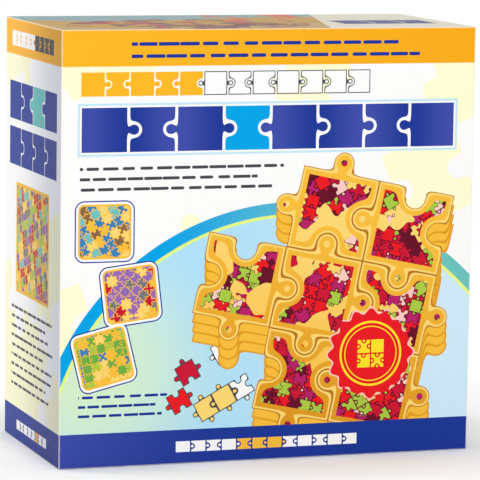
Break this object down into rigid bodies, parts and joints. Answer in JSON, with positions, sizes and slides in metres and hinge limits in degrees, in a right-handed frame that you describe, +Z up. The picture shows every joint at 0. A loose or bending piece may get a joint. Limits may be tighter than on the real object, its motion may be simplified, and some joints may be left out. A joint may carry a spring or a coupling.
{
  "type": "jigsaw puzzle storage case",
  "caption": "Square rigid game box with a telescoping printed lid, holding a nested stack of sorting trays shaped like jigsaw pieces",
  "frame": {"origin": "middle of the standing face, at the bottom of the bounding box", "axes": "+Z up, -Y towards the viewer and the printed front, +X to the right seen from the front"},
  "size_m": [0.269, 0.1316, 0.269],
  "materials": {
    "printed_paper": "gloss laminated print",
    "plain_paper": "plain white covering paper",
    "greyboard": "bare grey board",
    "gummed_tape": "brown gummed paper tape",
    "tray_plastic": "semi-gloss moulded plastic"
  },
  "bodies": {
    "base": {"base_back_board": "greyboard", "base_left_board": "greyboard", "base_right_board": "greyboard", "base_top_board": "greyboard", "base_bottom_board": "greyboard", "base_corner_stays": "gummed_tape", "base_wrap": "plain_paper"},
    "tray_1": {"tray_1": "tray_plastic"},
    "tray_2": {"tray_2": "tray_plastic"},
    "tray_3": {"tray_3": "tray_plastic"},
    "tray_4": {"tray_4": "tray_plastic"},
    "tray_5": {"tray_5": "tray_plastic"},
    "tray_6": {"tray_6": "tray_plastic"},
    "lid": {"lid_front_board": "greyboard", "lid_left_board": "greyboard", "lid_right_board": "greyboard", "lid_top_board": "greyboard", "lid_bottom_board": "greyboard", "lid_corner_stays": "gummed_tape", "lid_wrap": "printed_paper"}
  },
  "joints": [
    {"name": "tray_1_lift", "type": "slide", "parent": "base", "child": "tray_1", "axis": [0, -1, 0], "range_m": [0, 0.136]},
    {"name": "tray_2_lift", "type": "slide", "parent": "tray_1", "child": "tray_2", "axis": [0, -1, 0], "range_m": [0, 0.1164]},
    {"name": "tray_3_lift", "type": "slide", "parent": "tray_2", "child": "tray_3", "axis": [0, -1, 0], "range_m": [0, 0.0968]},
    {"name": "tray_4_lift", "type": "slide", "parent": "tray_3", "child": "tray_4", "axis": [0, -1, 0], "range_m": [0, 0.0772]},
    {"name": "tray_5_lift", "type": "slide", "parent": "tray_4", "child": "tray_5", "axis": [0, -1, 0], "range_m": [0, 0.0576]},
    {"name": "tray_6_lift", "type": "slide", "parent": "tray_5", "child": "tray_6", "axis": [0, -1, 0], "range_m": [0, 0.038]},
    {"name": "lid_lift", "type": "slide", "parent": "tray_6", "child": "lid", "axis": [0, -1, 0], "range_m": [0, 0.1368]}
  ]
}
